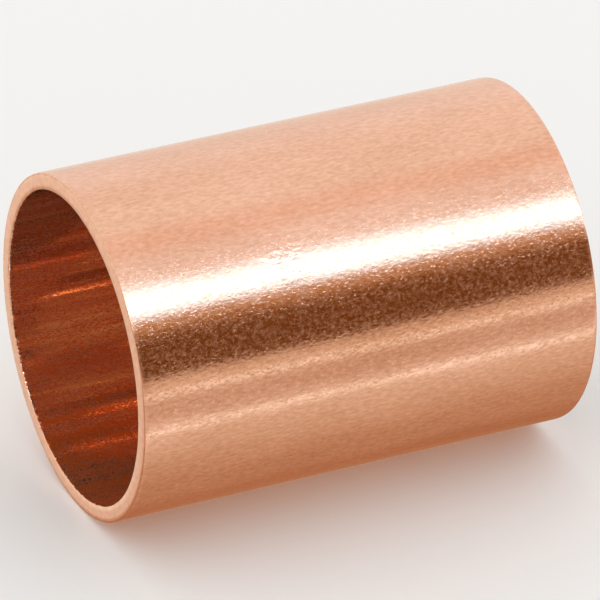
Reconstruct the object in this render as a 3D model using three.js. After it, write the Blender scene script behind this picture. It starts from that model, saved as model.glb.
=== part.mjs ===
// Slip coupling for 15 mm copper tube: one plain seamless sleeve, open from end to end.
// Two tubes push in from its ends and are soldered.
// Millimetres. The sleeve lies on its side: its axis is X and +Z is up.
// The origin is on the axis, at half the length.

import * as THREE from 'three';

// Driving dimensions
const TUBE_DIAMETER = 15.0; // outside of the tube that the coupling joins
const SOLDER_GAP = 0.05; // capillary gap all round that tube
const WALL = 0.77;
const LENGTH = 23.1;

// The cut ends. The cutter rolls the outer edge in, so it is longer than it is deep.
const OUTER_EDGE_LENGTH = 0.25;
const OUTER_EDGE_DEPTH = 0.07;
const INNER_EDGE = 0.06; // deburred at 45 degrees

// Facets
const STEPS_AROUND = 120;
const STEPS_PER_EDGE = 4;

const BORE_RADIUS = TUBE_DIAMETER / 2 + SOLDER_GAP;
const OUTER_RADIUS = BORE_RADIUS + WALL;
const HALF_LENGTH = LENGTH / 2;
const QUARTER_TURN = Math.PI / 2;

// Both kinds of edge are lists of (radius, distance along the axis).
// They run from the outside towards the bore. `end` is +1 or -1, for the two ends of the sleeve.

// A quarter of an ellipse, from the outside of the sleeve to the end face.
function outerEdge(end) {
  const points = [];
  for (let step = 0; step <= STEPS_PER_EDGE; step += 1) {
    const angle = QUARTER_TURN * (step / STEPS_PER_EDGE);
    const radius = OUTER_RADIUS - OUTER_EDGE_DEPTH * (1 - Math.cos(angle));
    const along = HALF_LENGTH - OUTER_EDGE_LENGTH * (1 - Math.sin(angle));
    points.push(new THREE.Vector2(radius, end * along));
  }
  return points;
}

// A small flat break, from the end face to the bore.
function innerEdge(end) {
  return [
    new THREE.Vector2(BORE_RADIUS + INNER_EDGE, end * HALF_LENGTH),
    new THREE.Vector2(BORE_RADIUS, end * (HALF_LENGTH - INNER_EDGE)),
  ];
}

// The section of the wall, once round and back to its first point.
function wallSection() {
  const overOneEnd = [...outerEdge(+1), ...innerEdge(+1)];
  const backOverTheOther = [...outerEdge(-1), ...innerEdge(-1)].reverse();
  const section = [...overOneEnd, ...backOverTheOther];
  section.push(section[0].clone());
  return section;
}

// Satin copper, annealed and pickled.
function copper() {
  return new THREE.MeshStandardMaterial({ color: 0xd9966c, roughness: 0.35, metalness: 1 });
}

// The lathe starts half a step round, so that the sleeve lies on a facet and not on a corner.
function couplingSleeve() {
  const halfStep = Math.PI / STEPS_AROUND;
  const fullTurn = 2 * Math.PI;
  const geometry = new THREE.LatheGeometry(wallSection(), STEPS_AROUND, halfStep, fullTurn);
  const sleeve = new THREE.Mesh(geometry, copper());
  sleeve.name = 'coupling_sleeve';
  sleeve.rotation.z = -QUARTER_TURN; // the lathe turns about Y, and this lays that axis along X
  return sleeve;
}

const coupling = new THREE.Group();
coupling.add(couplingSleeve());

export default coupling;
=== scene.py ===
"""Looks for a copper slip coupling: one plain sleeve that joins two tubes by soldering.

Metres. The sleeve lies on its side along X, +Z is up, and the origin is on its axis at half length.
"""

import math

import bpy
from bpy.props import FloatProperty, FloatVectorProperty, IntProperty, PointerProperty
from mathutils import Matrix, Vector


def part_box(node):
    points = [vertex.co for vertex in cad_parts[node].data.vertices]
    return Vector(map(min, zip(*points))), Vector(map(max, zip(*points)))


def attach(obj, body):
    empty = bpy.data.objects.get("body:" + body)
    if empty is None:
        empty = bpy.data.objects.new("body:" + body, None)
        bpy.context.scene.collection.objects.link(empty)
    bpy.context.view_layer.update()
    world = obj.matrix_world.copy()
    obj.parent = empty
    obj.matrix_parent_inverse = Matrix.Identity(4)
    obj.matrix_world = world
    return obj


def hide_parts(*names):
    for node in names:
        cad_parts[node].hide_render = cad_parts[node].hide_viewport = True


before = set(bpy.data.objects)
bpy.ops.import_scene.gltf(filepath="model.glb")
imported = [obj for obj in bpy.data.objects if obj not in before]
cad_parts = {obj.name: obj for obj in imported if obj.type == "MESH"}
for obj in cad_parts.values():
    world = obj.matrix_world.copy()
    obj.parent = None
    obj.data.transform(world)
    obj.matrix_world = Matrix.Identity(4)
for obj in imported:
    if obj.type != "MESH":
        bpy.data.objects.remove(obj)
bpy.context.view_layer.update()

bl_info = {
    "name": "Copper Slip Coupling",
    "version": (1, 0, 0),
    "blender": (4, 5, 0),
    "location": "View3D > Sidebar > Coupling",
    "description": "Builds a copper tube coupling and a small studio round it",
    "category": "Add Mesh",
}

NODE = "coupling_sleeve"
MM = 0.001
MICRON = 0.000001

# The side of the axis where the cutter's burr is heaviest.
BURR_SIDE = (0.0, 0.77, -0.64)

# The middle of a small scuff in the skin. The scuff fades in over these distances from it, and its dents
# are this many times as high as the grain.
SCUFF_PLACE = (-3.4 * MM, -5.6 * MM, 6.1 * MM)
SCUFF_START = 1.9 * MM
SCUFF_FULL = 0.2 * MM
SCUFF_HEIGHT = 9.0

# How far from each end the matt rim of the outside starts, and where it is full. Then the same for the
# painted shade along the outer rim of the cut ends, measured from the outside inwards.
MATT_START = 0.22 * MM
MATT_FULL = 0.10 * MM
STAIN_START = 0.16 * MM
STAIN_FULL = 0.02 * MM

# What the metal mirrors, round the X axis: 0 is overhead and 90 the camera's side. The panels follow on
# from the start; each fades in from one angle to the next, to a colour times a strength.
TENT_START = "c4a58e"
TENT_PANELS = (
    (-180, -150, "b5815e", 1.00),
    (-132, -120, "f4eee5", 1.00),
    (-104, -60, "e8f1ff", 1.23),
    (-12, -4, "faf5fb", 1.00),
    (6, 12, "e4edff", 1.26),
    (24, 40, "96ccff", 4.60),
    (37, 40, "ffeedd", 9.00),
    (41, 43, "96ccff", 4.60),
    (45, 54, "f4c890", 0.66),
    (54, 66, "ffb06c", 0.165),
    (88, 92, "e1d6cb", 1.00),
    (98, 100, "e6f4ff", 1.60),
    (101, 104, "d4c5bf", 1.00),
    (112, 121, "e1d9d6", 1.00),
    (122, 126, "ddefff", 1.85),
    (126, 131, "e7e2e0", 1.00),
    (132, 180, "c4a58e", 1.00),
)

FLOOR_HALF_SIDE = 3.0
CAMERA_CLIP = (0.01, 100.0)

# Multiplied by this, a place keeps only its part across the sleeve's axis.
ACROSS = (0.0, 1.0, 1.0)

# A Mix node's number and colour sockets share their names, so they are found by their place.
FACTOR = 0
NUMBER_A = 2
NUMBER_B = 3
COLOUR_A = 6
COLOUR_B = 7
COLOUR_OUT = 2


def linear(hex_colour):
    """An sRGB colour such as "d9966c" as three linear numbers."""
    shares = [int(hex_colour[i : i + 2], 16) / 255 for i in (0, 2, 4)]
    return [s / 12.92 if s <= 0.04045 else ((s + 0.055) / 1.055) ** 2.4 for s in shares]


def rgba(colour, strength=1.0):
    """A colour times a strength, with an alpha of 1."""
    return (*(c * strength for c in colour), 1.0)


def radii_of(node):
    """The bore's and the outside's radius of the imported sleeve."""
    found = [math.hypot(v.co.y, v.co.z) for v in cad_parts[node].data.vertices]
    return min(found), max(found)


BORE_RADIUS, OUTER_RADIUS = radii_of(NODE)
LOW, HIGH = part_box(NODE)
LENGTH = HIGH.x - LOW.x


def add(tree, kind, inputs=(), output=0, **settings):
    """Adds a node with its settings, gives its inputs values or links, and returns one output.

    The inputs are a tuple, from the first one on, or a dict by name or place."""
    node = tree.nodes.new(kind)
    for name, value in settings.items():
        setattr(node, name, value)
    for key, value in inputs.items() if isinstance(inputs, dict) else enumerate(inputs):
        if isinstance(value, bpy.types.NodeSocket):
            tree.links.new(value, node.inputs[key])
        else:
            node.inputs[key].default_value = value
    return node.outputs[output] if node.outputs else None


# ---------------------------------------------------------------- settings


class SleeveSettings(bpy.types.PropertyGroup):
    """The sleeve's small shapes. Each one is an input of its node tree, by its name."""

    edge_length: FloatProperty(
        name="Rolled Edge Length", description="Length of the outer edge that the cutter rolled in",
        default=0.25 * MM, unit="LENGTH")
    edge_depth: FloatProperty(
        name="Rolled Edge Depth", description="How deep the outer edge is rolled in",
        default=0.04 * MM, unit="LENGTH")
    cone: FloatProperty(
        name="End Cone", description="How far each end face falls back from the bore to the outside",
        default=0.02 * MM, unit="LENGTH")
    inner_edge: FloatProperty(
        name="Inner Edge", description="Length of the deburred inner edge",
        default=0.14 * MM, unit="LENGTH")
    burr: FloatProperty(
        name="Burr", description="Height of the ragged lip that the cutter left inside the ends",
        default=0.08 * MM, unit="LENGTH")
    burr_width: FloatProperty(
        name="Burr Width", description="Width of the lip's teeth",
        default=0.16 * MM, unit="LENGTH")
    burr_reach: FloatProperty(
        name="Burr Reach", description="How far the lip reaches into the bore and over the end face",
        default=0.12 * MM, unit="LENGTH")
    wave: FloatProperty(
        name="Wave", description="Height of the long waves in the outside",
        default=0.009 * MM, unit="LENGTH")
    wave_width: FloatProperty(
        name="Wave Width", description="Width of those waves round the sleeve",
        default=6.0 * MM, unit="LENGTH")
    ridge: FloatProperty(
        name="Ridge", description="Height of the lengthwise ridges that drawing left in the bore",
        default=0.004 * MM, unit="LENGTH")
    ridge_width: FloatProperty(
        name="Ridge Width", description="Width of those ridges round the bore",
        default=1.3 * MM, unit="LENGTH")
    pinch: FloatProperty(
        name="Pinch", description="How far parting off closed the bore in at the -X end",
        default=0.036 * MM, unit="LENGTH")
    pinch_length: FloatProperty(
        name="Pinch Length", description="Length over which the bore closes in",
        default=6.0 * MM, unit="LENGTH")
    step_along: FloatProperty(
        name="Longest Step", description="Longest mesh step along a straight stretch of the wall's section",
        default=1.6 * MM, unit="LENGTH")
    steps_around: IntProperty(
        name="Steps Around", description="Mesh steps round the sleeve", default=1400, min=32)
    steps_per_corner: IntProperty(
        name="Steps per Corner", description="Mesh steps in each rounded edge", default=6, min=2)
    seed: IntProperty(
        name="Seed", description="Picks the waves, the ridges and the ragged lip", default=3)


class CopperSettings(bpy.types.PropertyGroup):
    """The copper's colours, and how wide, high or rough the marks in it are."""

    colour: FloatVectorProperty(
        name="Copper", description="Clean annealed copper",
        default=linear("f2b691"), subtype="COLOR")
    deep: FloatVectorProperty(
        name="Tarnished Copper", description="Copper with a little more oxide on it",
        default=linear("e9ac86"), subtype="COLOR")
    fresh: FloatVectorProperty(
        name="Fresh Copper", description="Copper that was just cut",
        default=linear("fbcbac"), subtype="COLOR")
    # Painted shade: this darker orange-brown lines the outer rim of each cut end, where the edge rounds
    # over.
    stained: FloatVectorProperty(
        name="Stained Copper", description="The cutter's orange-brown stain on the outer rim",
        default=linear("dd9b6c"), subtype="COLOR")
    drawn: FloatVectorProperty(
        name="Drawn Copper", description="Copper in the cleaner streaks of the bore",
        default=linear("ecd4b5"), subtype="COLOR")
    oxide: FloatVectorProperty(
        name="Oxidised Copper", description="Copper under a thin brown oxide",
        default=linear("ca5e22"), subtype="COLOR")
    grain: FloatProperty(
        name="Grain", description="Width of the grain that pickling brought out",
        default=0.15 * MM, unit="LENGTH")
    grain_height: FloatProperty(
        name="Grain Height", description="Height of that grain",
        default=4.0 * MICRON, unit="LENGTH")
    pits: FloatProperty(
        name="Pits", description="Width of the small pits that sparkle",
        default=0.11 * MM, unit="LENGTH")
    etching: FloatProperty(
        name="Etching", description="Width of the patches that the acid left matt",
        default=0.20 * MM, unit="LENGTH")
    roughness: FloatProperty(
        name="Roughness", description="Roughness of the bright grains",
        default=0.12, subtype="FACTOR")
    etched_roughness: FloatProperty(
        name="Etched Roughness", description="Roughness of the matt grains",
        default=0.22, subtype="FACTOR")
    film: FloatProperty(
        name="Oxide Film", description="Share of the matt grains' shine that their thin film scatters",
        default=0.16, subtype="FACTOR")
    mottle: FloatProperty(
        name="Mottle", description="Width of the light and dark flecks in the tarnish",
        default=0.14 * MM, unit="LENGTH")
    clouds: FloatProperty(
        name="Clouds", description="Width of the clouds in the tarnish",
        default=2.5 * MM, unit="LENGTH")
    scratches: FloatProperty(
        name="Scratches", description="Width of the dents in the scuff",
        default=0.3 * MM, unit="LENGTH")
    shear: FloatProperty(
        name="Shear Marks", description="Width of the marks that the cutter left on the cut ends",
        default=0.26 * MM, unit="LENGTH")
    shear_height: FloatProperty(
        name="Shear Mark Height", description="Height of those marks",
        default=4.0 * MICRON, unit="LENGTH")
    cut_roughness: FloatProperty(
        name="Cut Roughness", description="Roughness of the cut ends",
        default=0.40, subtype="FACTOR")
    # The specks break up the painted shade along the outer rim of the cut ends.
    specks: FloatProperty(
        name="Specks", description="Width of the breaks in the rim's stain",
        default=0.22 * MM, unit="LENGTH")
    streaks: FloatProperty(
        name="Streaks", description="Width of the fine lengthwise streaks that drawing left in the bore",
        default=0.4 * MM, unit="LENGTH")
    streak_height: FloatProperty(
        name="Streak Height", description="Height of those streaks",
        default=0.4 * MICRON, unit="LENGTH")
    lines: FloatProperty(
        name="Oxide Lines", description="Width of the thin lines of oxide in the bore",
        default=0.045 * MM, unit="LENGTH")
    stains: FloatProperty(
        name="Oxide Stains", description="Width of the larger stains in the bore",
        default=0.8 * MM, unit="LENGTH")
    drawn_roughness: FloatProperty(
        name="Drawn Roughness", description="Roughness of the bore's clean metal",
        default=0.04, subtype="FACTOR")
    oxide_roughness: FloatProperty(
        name="Oxide Roughness", description="Roughness of the bore's oxide",
        default=0.10, subtype="FACTOR")
    bore_film: FloatProperty(
        name="Bore Film", description="Share of the shine that the bore's oxide scatters",
        default=0.45, subtype="FACTOR")


class StageSettings(bpy.types.PropertyGroup):
    """The camera's place and lens, and the floor's colour."""

    azimuth: FloatProperty(
        name="Azimuth", description="Turn of the camera round the vertical, 0 on the -Y side",
        default=math.radians(-25.0), subtype="ANGLE")
    elevation: FloatProperty(
        name="Elevation", description="Height of the camera above the horizon",
        default=math.radians(28.8), subtype="ANGLE")
    distance: FloatProperty(
        name="Distance", description="From the camera to the middle of the sleeve",
        default=0.3370, unit="LENGTH")
    lens: FloatProperty(
        name="Lens", description="Focal length in millimetres", default=430.0)
    sensor: FloatProperty(
        name="Sensor", description="Width of the camera's sensor in millimetres", default=36.0)
    shift: FloatVectorProperty(
        name="Shift", description="Shift of the picture, as a share of its width",
        default=(0.0033, -0.0038), size=2)
    floor: FloatVectorProperty(
        name="Floor", description="Colour of the floor",
        default=linear("f5f4f2"), subtype="COLOR")


# ---------------------------------------------------------------- materials

# The patterns of each finish: the setting that holds its width, the squeeze along the sleeve that draws it
# out, and the detail and the roughness of its noise. In real tube the grain is about 0.04 mm wide, the pits
# are smaller still, and the lines from drawing are near 0.01 mm. These are a few times coarser, to show.
PICKLED_PATTERNS = (
    ("grain", 0.75, 1.0, 0.5),
    ("pits", 0.70, 3.0, 0.6),
    ("etching", 0.90, 3.0, 0.7),
    ("mottle", 0.40, 2.0, 0.5),
    ("clouds", 0.40, 3.0, 0.5),
    ("scratches", 0.80, 2.0, 0.5),
)
CUT_PATTERNS = (
    ("shear", 1.00, 4.0, 0.65),
    ("specks", 1.00, 2.0, 0.5),
)
DRAWN_PATTERNS = (
    ("streaks", 0.05, 3.0, 0.6),
    ("lines", 0.30, 1.0, 0.5),
    ("stains", 0.08, 4.0, 0.6),
)


def new_material(name):
    """A material with no nodes yet."""
    material = bpy.data.materials.new(name)
    material.use_nodes = True
    material.node_tree.nodes.clear()
    return material


def with_surface(material, inputs):
    """Gives a material its shader, with these inputs, and returns the material."""
    surface = add(material.node_tree, "ShaderNodeBsdfPrincipled", inputs)
    add(material.node_tree, "ShaderNodeOutputMaterial", {"Surface": surface})
    return material


def patterns_in(tree, place, copper, patterns):
    """Makes each of a finish's patterns, and returns them by name."""
    made = {}
    for name, squeeze, detail, roughness in patterns:
        vector = add(tree, "ShaderNodeMapping", {"Vector": place, "Scale": (squeeze / MM, 1 / MM, 1 / MM)})
        width = getattr(copper, name) / MM
        made[name] = add(tree, "ShaderNodeTexNoise", {
            "Vector": vector, "Scale": 1 / width, "Detail": detail, "Roughness": roughness})
    return made


def copper_annealed_and_pickled(copper):
    """Copper tube, annealed and then pickled in acid: satin, with a fine grain drawn out lengthwise.

    The acid left a few steep pits and some grains matt, so dark reflections sparkle."""
    material = new_material("copper_annealed_and_pickled")
    tree = material.node_tree
    place = add(tree, "ShaderNodeTexCoord", output="Object")
    pattern = patterns_in(tree, place, copper, PICKLED_PATTERNS)

    # The rims are a little more matt than the rest.
    along = add(tree, "ShaderNodeSeparateXYZ", (place,), output="X")
    distance = add(tree, "ShaderNodeMath", (along,), operation="ABSOLUTE")
    at_rim = add(tree, "ShaderNodeMapRange", {
        "Value": distance, "From Min": LENGTH / 2 - MATT_START, "From Max": LENGTH / 2 - MATT_FULL,
        "To Max": 0.15}, interpolation_type="SMOOTHSTEP")
    matt = add(tree, "ShaderNodeMath", (pattern["etching"], at_rim), operation="ADD")
    etched = add(tree, "ShaderNodeMapRange", {"Value": matt, "From Min": 0.42, "From Max": 0.72})
    rough = add(tree, "ShaderNodeMix", {
        FACTOR: etched, NUMBER_A: copper.roughness, NUMBER_B: copper.etched_roughness})
    metal = add(tree, "ShaderNodeMix", {FACTOR: etched, NUMBER_A: 1.0, NUMBER_B: 1.0 - copper.film})

    # The colour may go past its two ends, which gives single paler and darker grains.
    flecks = add(tree, "ShaderNodeMapRange", {
        "Value": pattern["mottle"], "From Min": 0.2, "From Max": 0.8, "To Min": -1.5, "To Max": 1.5})
    clouds = add(tree, "ShaderNodeMapRange", {"Value": pattern["clouds"], "From Min": 0.3, "From Max": 0.7})
    tarnish = add(tree, "ShaderNodeMath", (flecks, clouds), operation="ADD")
    tint = add(tree, "ShaderNodeMix", {
        FACTOR: tarnish, COLOUR_A: rgba(copper.colour), COLOUR_B: rgba(copper.deep)},
        output=COLOUR_OUT, data_type="RGBA", clamp_factor=False)

    # The pits stand as high as the grain.
    pits = add(tree, "ShaderNodeMapRange", {
        "Value": pattern["pits"], "From Min": 0.55, "From Max": 0.78}, interpolation_type="SMOOTHSTEP")
    pitted = add(tree, "ShaderNodeMath", (pits, pattern["grain"]), operation="ADD")
    away = add(tree, "ShaderNodeVectorMath", (place, SCUFF_PLACE), output="Value", operation="DISTANCE")
    scuffed = add(tree, "ShaderNodeMapRange", {
        "Value": away, "From Min": SCUFF_START, "From Max": SCUFF_FULL, "To Max": SCUFF_HEIGHT},
        interpolation_type="SMOOTHSTEP")
    height = add(tree, "ShaderNodeMath", (scuffed, pattern["scratches"], pitted), operation="MULTIPLY_ADD")
    bump = add(tree, "ShaderNodeBump", {"Height": height, "Distance": copper.grain_height, "Strength": 1.0})
    return with_surface(material, {
        "Base Color": tint, "Metallic": metal, "Roughness": rough, "Normal": bump})


def copper_cut_and_deburred(copper):
    """Copper sheared by a tube cutter: smooth, clean and paler than the skin, with painted shade along its
    outer rim.
    """
    material = new_material("copper_cut_and_deburred")
    tree = material.node_tree
    place = add(tree, "ShaderNodeTexCoord", output="Object")
    pattern = patterns_in(tree, place, copper, CUT_PATTERNS)

    across = add(tree, "ShaderNodeVectorMath", (place, ACROSS), operation="MULTIPLY")
    radius = add(tree, "ShaderNodeVectorMath", (across,), output="Value", operation="LENGTH")
    # Painted shade: a darker orange-brown line along the outer rim, where the edge rounds over; the shear
    # blotches add real tone all over.
    rim = add(tree, "ShaderNodeMapRange", {
        "Value": radius, "From Min": OUTER_RADIUS - STAIN_START, "From Max": OUTER_RADIUS - STAIN_FULL},
        interpolation_type="SMOOTHSTEP")
    specks = add(tree, "ShaderNodeMapRange", {
        "Value": pattern["specks"], "From Min": 0.35, "From Max": 0.60, "To Min": 0.2})
    blotches = add(tree, "ShaderNodeMapRange", {
        "Value": pattern["shear"], "From Min": 0.3, "From Max": 0.7, "To Min": -0.30, "To Max": 0.30})
    stain = add(tree, "ShaderNodeMath", (rim, specks, blotches), operation="MULTIPLY_ADD")
    tint = add(tree, "ShaderNodeMix", {
        FACTOR: stain, COLOUR_A: rgba(copper.fresh), COLOUR_B: rgba(copper.stained)},
        output=COLOUR_OUT, data_type="RGBA", clamp_factor=False)
    bump = add(tree, "ShaderNodeBump", {
        "Height": pattern["shear"], "Distance": copper.shear_height, "Strength": 1.0})
    return with_surface(material, {
        "Base Color": tint, "Metallic": 1.0, "Roughness": copper.cut_roughness, "Normal": bump})


def copper_drawn(copper):
    """Copper drawn over a plug: the bore keeps long streaks of bright metal and of red-brown oxide."""
    material = new_material("copper_drawn")
    tree = material.node_tree
    place = add(tree, "ShaderNodeTexCoord", output="Object")
    pattern = patterns_in(tree, place, copper, DRAWN_PATTERNS)

    # The oxide is heavier towards the bottom of the bore, so the top keeps barer metal with less of the
    # film's even glow and renders darker: painted shade at the top of the bore.
    height = add(tree, "ShaderNodeSeparateXYZ", (place,), output="Z")
    pooled = add(tree, "ShaderNodeMapRange", {
        "Value": height, "From Min": -BORE_RADIUS, "From Max": BORE_RADIUS,
        "To Min": -0.16, "To Max": -0.44})
    lined = add(tree, "ShaderNodeMath", (pattern["lines"], pooled), operation="ADD")
    cover = add(tree, "ShaderNodeMath", (pattern["stains"], 0.6, lined), operation="MULTIPLY_ADD")
    film = add(tree, "ShaderNodeMapRange", {
        "Value": cover, "From Min": 0.44, "From Max": 0.66}, interpolation_type="SMOOTHSTEP")
    metal = add(tree, "ShaderNodeMix", {FACTOR: film, NUMBER_A: 1.0, NUMBER_B: 1.0 - copper.bore_film})
    rough = add(tree, "ShaderNodeMix", {
        FACTOR: film, NUMBER_A: copper.drawn_roughness, NUMBER_B: copper.oxide_roughness})
    tint = add(tree, "ShaderNodeMix", {
        FACTOR: film, COLOUR_A: rgba(copper.drawn), COLOUR_B: rgba(copper.oxide)},
        output=COLOUR_OUT, data_type="RGBA")
    bump = add(tree, "ShaderNodeBump", {
        "Height": pattern["streaks"], "Distance": copper.streak_height, "Strength": 1.0})
    return with_surface(material, {
        "Base Color": tint, "Metallic": metal, "Roughness": rough, "Normal": bump})


# ---------------------------------------------------------------- sleeve

# The kind of socket that a value of each type goes into.
SOCKETS = {float: "NodeSocketFloat", int: "NodeSocketInt", bpy.types.Material: "NodeSocketMaterial"}

# The noise in the surface: the input that it belongs to, how many times longer than wide it is, its detail.
RELIEF = (
    ("Wave", 2.0, 2.0),
    ("Ridge", 40.0, 3.0),
    ("Burr", 1.0, 3.0),
)

# A face is the bore's when its normal points outwards less than this, and an end's when it points along the
# sleeve more than this.
BORE_FACING = -0.5
END_FACING = 0.8


def sleeve_values(sleeve, copper):
    """The node tree's inputs by name: the frame's sizes, the panel's settings and the three finishes."""
    values = {"Bore Radius": BORE_RADIUS, "Wall": OUTER_RADIUS - BORE_RADIUS, "Length": LENGTH}
    for key in SleeveSettings.__annotations__:
        values[sleeve.bl_rna.properties[key].name] = getattr(sleeve, key)
    values["Outside"] = copper_annealed_and_pickled(copper)
    values["Cut Ends"] = copper_cut_and_deburred(copper)
    values["Bore"] = copper_drawn(copper)
    return values


def wall_section(tree, sizes):
    """The wall's section as a closed curve: X runs outwards through the wall, Y along the sleeve.

    It is rounded while its wall is stretched, so that squeezing it back turns the round corners into
    ellipses that are longer than they are deep."""
    stretch = add(tree, "ShaderNodeMath", (sizes["Rolled Edge Length"], sizes["Rolled Edge Depth"]),
                  operation="DIVIDE")
    width = add(tree, "ShaderNodeMath", (sizes["Wall"], stretch), operation="MULTIPLY")
    outline = add(tree, "GeometryNodeCurvePrimitiveQuadrilateral", {
        "Width": width, "Height": sizes["Length"]})
    place = add(tree, "GeometryNodeInputPosition")
    through = add(tree, "ShaderNodeSeparateXYZ", (place,), output="X")
    along = add(tree, "ShaderNodeSeparateXYZ", (place,), output="Y")
    outside = add(tree, "ShaderNodeMath", (through, 0.0), operation="GREATER_THAN")
    corner = add(tree, "ShaderNodeMix", {
        FACTOR: outside, NUMBER_A: sizes["Inner Edge"], NUMBER_B: sizes["Rolled Edge Length"]})
    rounded = add(tree, "GeometryNodeFilletCurve", {
        "Curve": outline, "Radius": corner, "Limit Radius": True, "Count": sizes["Steps per Corner"]},
        mode="POLY")

    # A straight stretch is cut into steps that are short enough for the ridges and waves to follow.
    next_point = add(tree, "GeometryNodeOffsetPointInCurve", {"Offset": 1}, output="Point Index")
    next_place = add(tree, "GeometryNodeFieldAtIndex", {"Value": place, "Index": next_point},
                     data_type="FLOAT_VECTOR", domain="POINT")
    gap = add(tree, "ShaderNodeVectorMath", (place, next_place), output="Value", operation="DISTANCE")
    steps = add(tree, "ShaderNodeMath", (gap, sizes["Longest Step"]), operation="DIVIDE")
    cuts = add(tree, "ShaderNodeMath", (steps,), operation="FLOOR")
    stepped = add(tree, "GeometryNodeSubdivideCurve", {"Curve": rounded, "Cuts": cuts})

    squeeze = add(tree, "ShaderNodeMath", (1.0, stretch), operation="DIVIDE")
    scale = add(tree, "ShaderNodeCombineXYZ", (squeeze, 1.0, 1.0))
    squeezed = add(tree, "GeometryNodeTransform", {"Geometry": stepped, "Scale": scale})

    # The end faces fall back from the bore outwards: depth is 0 at the bore, end is 1 or -1 at the ends.
    share = add(tree, "ShaderNodeMath", (through, sizes["Wall"]), operation="DIVIDE")
    depth = add(tree, "ShaderNodeMath", (share, 0.5), operation="ADD")
    minus_half = add(tree, "ShaderNodeMath", (sizes["Length"], -0.5), operation="MULTIPLY")
    end = add(tree, "ShaderNodeMath", (along, minus_half), operation="DIVIDE")
    inwards = add(tree, "ShaderNodeMath", (depth, end), operation="MULTIPLY")
    back = add(tree, "ShaderNodeMath", (inwards, sizes["End Cone"]), operation="MULTIPLY")
    offset = add(tree, "ShaderNodeCombineXYZ", {"Y": back})
    return add(tree, "GeometryNodeSetPosition", {"Geometry": squeezed, "Offset": offset})


def swept_round(tree, section, sizes):
    """The section swept once round the X axis."""
    middle = add(tree, "ShaderNodeMath", (sizes["Wall"], 0.5, sizes["Bore Radius"]),
                 operation="MULTIPLY_ADD")
    ring = add(tree, "GeometryNodeCurvePrimitiveCircle", {
        "Resolution": sizes["Steps Around"], "Radius": middle})
    tube = add(tree, "GeometryNodeCurveToMesh", {"Curve": ring, "Profile Curve": section})
    quarter_turn = (0.0, math.radians(90.0), 0.0)
    return add(tree, "GeometryNodeTransform", {"Geometry": tube, "Rotation": quarter_turn})


def with_relief(tree, tube, sizes):
    """Moves the surface in and out: waves outside, ridges and a pinch in the bore, and a ragged burr."""
    place = add(tree, "GeometryNodeInputPosition")
    along = add(tree, "ShaderNodeSeparateXYZ", (place,), output="X")
    across = add(tree, "ShaderNodeVectorMath", (place, ACROSS), operation="MULTIPLY")
    radius = add(tree, "ShaderNodeVectorMath", (across,), output="Value", operation="LENGTH")
    outward = add(tree, "ShaderNodeVectorMath", (across,), operation="NORMALIZE")
    half = add(tree, "ShaderNodeMath", (sizes["Length"], 0.5), operation="MULTIPLY")
    noise = {}
    for name, drawn_out, detail in RELIEF:
        squeeze = (1 / drawn_out, 1.0, 1.0)
        squeezed = add(tree, "ShaderNodeVectorMath", (place, squeeze), operation="MULTIPLY")
        scale = add(tree, "ShaderNodeMath", (1.0, sizes[name + " Width"]), operation="DIVIDE")
        noise[name] = add(tree, "ShaderNodeTexNoise", {
            "Vector": squeezed, "W": sizes["Seed"], "Scale": scale, "Detail": detail},
            noise_dimensions="4D", normalize=False)

    wave = add(tree, "ShaderNodeMath", (noise["Wave"], sizes["Wave"]), operation="MULTIPLY")
    ridge = add(tree, "ShaderNodeMath", (noise["Ridge"], sizes["Ridge"]), operation="MULTIPLY")
    pinch_end = add(tree, "ShaderNodeMath", (half, -1.0), operation="MULTIPLY")
    pinch_start = add(tree, "ShaderNodeMath", (pinch_end, sizes["Pinch Length"]), operation="ADD")
    pinch = add(tree, "ShaderNodeMapRange", {
        "Value": along, "From Min": pinch_end, "From Max": pinch_start,
        "To Min": sizes["Pinch"], "To Max": 0.0})
    bore = add(tree, "ShaderNodeMath", (ridge, pinch), operation="SUBTRACT")
    middle = add(tree, "ShaderNodeMath", (sizes["Wall"], 0.5, sizes["Bore Radius"]),
                 operation="MULTIPLY_ADD")
    outside = add(tree, "ShaderNodeMath", (radius, middle), operation="GREATER_THAN")
    relief = add(tree, "ShaderNodeMix", {FACTOR: outside, NUMBER_A: bore, NUMBER_B: wave})

    # The lip stands where the bore meets an end face, on the burr's side, and only where its noise is high.
    distance = add(tree, "ShaderNodeMath", (along,), operation="ABSOLUTE")
    reach_in = add(tree, "ShaderNodeMath", (half, sizes["Burr Reach"]), operation="SUBTRACT")
    reach_out = add(tree, "ShaderNodeMath", (sizes["Bore Radius"], sizes["Burr Reach"]), operation="ADD")
    side = add(tree, "ShaderNodeVectorMath", (outward, BURR_SIDE), output="Value", operation="DOT_PRODUCT")
    lip = sizes["Burr"]
    for value, low, high in (
        (distance, reach_in, half),
        (radius, reach_out, sizes["Bore Radius"]),
        (side, -0.4, 0.8),
        (noise["Burr"], -0.1, 0.7),
    ):
        share = add(tree, "ShaderNodeMapRange", {"Value": value, "From Min": low, "From Max": high},
                    interpolation_type="SMOOTHSTEP")
        lip = add(tree, "ShaderNodeMath", (lip, share), operation="MULTIPLY")
    height = add(tree, "ShaderNodeMath", (relief, lip), operation="SUBTRACT")
    offset = add(tree, "ShaderNodeVectorMath", {0: outward, "Scale": height}, operation="SCALE")
    return add(tree, "GeometryNodeSetPosition", {"Geometry": tube, "Offset": offset})


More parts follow.
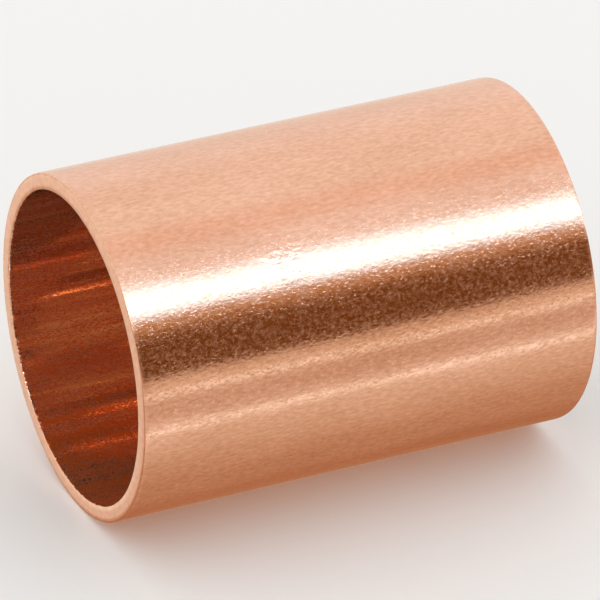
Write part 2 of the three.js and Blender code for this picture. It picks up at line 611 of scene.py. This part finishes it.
def with_finishes(tree, tube, sizes):
    """One finish outside, one in the bore and one on the cut ends, by the way that a face looks."""
    normal = add(tree, "GeometryNodeInputNormal")
    place = add(tree, "GeometryNodeInputPosition")
    across = add(tree, "ShaderNodeVectorMath", (place, ACROSS), operation="MULTIPLY")
    outward = add(tree, "ShaderNodeVectorMath", (across,), operation="NORMALIZE")
    facing = add(tree, "ShaderNodeVectorMath", (normal, outward), output="Value", operation="DOT_PRODUCT")
    inwards = add(tree, "FunctionNodeCompare", {"A": facing, "B": BORE_FACING}, operation="LESS_THAN")
    along = add(tree, "ShaderNodeSeparateXYZ", (normal,), output="X")
    lengthwise = add(tree, "ShaderNodeMath", (along,), operation="ABSOLUTE")
    endwise = add(tree, "ShaderNodeMath", (lengthwise, END_FACING), operation="GREATER_THAN")
    for finish, faces in (("Outside", True), ("Bore", inwards), ("Cut Ends", endwise)):
        tube = add(tree, "GeometryNodeSetMaterial", {
            "Geometry": tube, "Selection": faces, "Material": sizes[finish]})
    return tube


def sleeve_tree(values):
    """The node tree that makes the sleeve, with an input for each value."""
    tree = bpy.data.node_groups.new("slip_coupling_sleeve", "GeometryNodeTree")
    tree.interface.new_socket("Geometry", in_out="OUTPUT", socket_type="NodeSocketGeometry")
    for name, value in values.items():
        tree.interface.new_socket(name, in_out="INPUT", socket_type=SOCKETS[type(value)])
    sizes = {socket.name: socket for socket in add(tree, "NodeGroupInput").node.outputs}
    section = wall_section(tree, sizes)
    tube = swept_round(tree, section, sizes)
    tube = with_relief(tree, tube, sizes)
    tube = add(tree, "GeometryNodeSetShadeSmooth", {"Geometry": tube, "Shade Smooth": True})
    tube = add(tree, "GeometryNodeRealizeInstances", {"Geometry": tube})
    tube = with_finishes(tree, tube, sizes)
    add(tree, "NodeGroupOutput", (tube,))
    return tree


def mesh_from(tree, name, values):
    """Runs a node tree once with these input values and returns a plain object with its mesh."""
    carrier = bpy.data.objects.new(name + "_nodes", bpy.data.meshes.new(name + "_nodes"))
    bpy.context.scene.collection.objects.link(carrier)
    modifier = carrier.modifiers.new("nodes", "NODES")
    modifier.node_group = tree
    for item in tree.interface.items_tree:
        if item.in_out == "INPUT":
            modifier[item.identifier] = values[item.name]
    evaluated = carrier.evaluated_get(bpy.context.evaluated_depsgraph_get())
    mesh = bpy.data.meshes.new_from_object(evaluated)
    mesh.name = name
    bpy.data.objects.remove(carrier)
    made = bpy.data.objects.new(name, mesh)
    bpy.context.scene.collection.objects.link(made)
    return made


class COUPLING_OT_sleeve(bpy.types.Operator):
    """Make the sleeve: the wall's section swept round its axis, with its rolled edges and its finishes"""

    bl_idname = "coupling.sleeve"
    bl_label = "Sleeve"

    def execute(self, context):
        values = sleeve_values(context.scene.coupling_sleeve, context.scene.coupling_copper)
        made = mesh_from(sleeve_tree(values), "copper_sleeve", values)
        if not made.data.polygons:
            raise RuntimeError("the sleeve's node tree made no faces")
        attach(made, "root")
        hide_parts(NODE)
        return {"FINISHED"}


# ---------------------------------------------------------------- stage


def light_tent():
    """The world. Polished metal mirrors a tent open along X, and everything else has even white light.

    The tent's brightness depends only on the angle round the sleeve's axis: 0 overhead, growing
    towards the camera's side and shrinking towards the back."""
    world = bpy.data.worlds.new("light_tent")
    world.use_nodes = True
    # The light depends on the kind of ray, so no map of the brightest directions is made from it.
    world.cycles.sampling_method = "NONE"
    tree = world.node_tree
    tree.nodes.clear()
    direction = add(tree, "ShaderNodeTexCoord", output="Generated")
    side = add(tree, "ShaderNodeSeparateXYZ", (direction,), output="Y")
    up = add(tree, "ShaderNodeSeparateXYZ", (direction,), output="Z")
    front = add(tree, "ShaderNodeMath", (side, -1.0), operation="MULTIPLY")
    angle = add(tree, "ShaderNodeMath", (front, up), operation="ARCTAN2")
    shade = rgba(linear(TENT_START))
    for start, end, colour, strength in TENT_PANELS:
        share = add(tree, "ShaderNodeMapRange", {
            "Value": angle, "From Min": math.radians(start), "From Max": math.radians(end)},
            interpolation_type="SMOOTHSTEP")
        shade = add(tree, "ShaderNodeMix", {
            FACTOR: share, COLOUR_A: shade, COLOUR_B: rgba(linear(colour), strength)},
            output=COLOUR_OUT, data_type="RGBA")
    mirrored = add(tree, "ShaderNodeLightPath", output="Is Glossy Ray")
    seen = add(tree, "ShaderNodeMix", {FACTOR: mirrored, COLOUR_A: rgba((1.0, 1.0, 1.0)), COLOUR_B: shade},
               output=COLOUR_OUT, data_type="RGBA")
    background = add(tree, "ShaderNodeBackground", {"Color": seen, "Strength": 1.0})
    add(tree, "ShaderNodeOutputWorld", {"Surface": background})
    bpy.context.scene.world = world


def paper_sweep(colour):
    """Thick matt paper: dead flat, with no shine at all."""
    material = new_material("paper_sweep")
    return with_surface(material, {
        "Base Color": rgba(colour), "Roughness": 1.0, "Specular IOR Level": 0.0})


def floor(stage):
    """A square of paper under the sleeve. The metal mirrors the tent's lower panels in its place."""
    mesh = bpy.data.meshes.new("studio_floor")
    signs = ((-1, -1), (1, -1), (1, 1), (-1, 1))
    corners = [(x * FLOOR_HALF_SIDE, y * FLOOR_HALF_SIDE, -OUTER_RADIUS) for x, y in signs]
    mesh.from_pydata(corners, [], [(0, 1, 2, 3)])
    mesh.materials.append(paper_sweep(stage.floor))
    made = bpy.data.objects.new("studio_floor", mesh)
    bpy.context.scene.collection.objects.link(made)
    made.visible_glossy = False


def camera(stage):
    """The camera, which looks at the middle of the sleeve."""
    data = bpy.data.cameras.new("camera")
    data.lens = stage.lens
    data.sensor_width = stage.sensor
    data.clip_start, data.clip_end = CAMERA_CLIP
    data.shift_x, data.shift_y = stage.shift
    made = bpy.data.objects.new("camera", data)
    across = math.cos(stage.elevation)
    side = math.sin(stage.azimuth)
    front = -math.cos(stage.azimuth)
    back = Vector((side * across, front * across, math.sin(stage.elevation)))
    made.location = (LOW + HIGH) / 2 + back * stage.distance
    made.rotation_mode = "QUATERNION"
    made.rotation_quaternion = (-back).to_track_quat("-Z", "Y")
    bpy.context.scene.collection.objects.link(made)
    bpy.context.scene.camera = made


class COUPLING_OT_stage(bpy.types.Operator):
    """Make the floor, the light tent and the camera"""

    bl_idname = "coupling.stage"
    bl_label = "Stage"

    def execute(self, context):
        stage = context.scene.coupling_stage
        light_tent()
        floor(stage)
        camera(stage)
        context.scene.view_settings.view_transform = "Standard"
        return {"FINISHED"}


class COUPLING_PT_panel(bpy.types.Panel):
    bl_label = "Copper Slip Coupling"
    bl_idname = "COUPLING_PT_panel"
    bl_space_type = "VIEW_3D"
    bl_region_type = "UI"
    bl_category = "Coupling"

    def draw(self, context):
        scene = context.scene
        for operator, groups in (
            (COUPLING_OT_sleeve, (scene.coupling_sleeve, scene.coupling_copper)),
            (COUPLING_OT_stage, (scene.coupling_stage,)),
        ):
            box = self.layout.box()
            for group in groups:
                for name in group.__annotations__:
                    box.prop(group, name)
            box.operator(operator.bl_idname)


CLASSES = (
    SleeveSettings, CopperSettings, StageSettings,
    COUPLING_OT_sleeve, COUPLING_OT_stage, COUPLING_PT_panel,
)


def register():
    for cls in CLASSES:
        bpy.utils.register_class(cls)
    bpy.types.Scene.coupling_sleeve = PointerProperty(type=SleeveSettings)
    bpy.types.Scene.coupling_copper = PointerProperty(type=CopperSettings)
    bpy.types.Scene.coupling_stage = PointerProperty(type=StageSettings)


def unregister():
    del bpy.types.Scene.coupling_stage
    del bpy.types.Scene.coupling_copper
    del bpy.types.Scene.coupling_sleeve
    for cls in reversed(CLASSES):
        bpy.utils.unregister_class(cls)


def main():
    register()
    bpy.ops.coupling.sleeve()
    bpy.ops.coupling.stage()


if __name__ == "__main__":
    main()
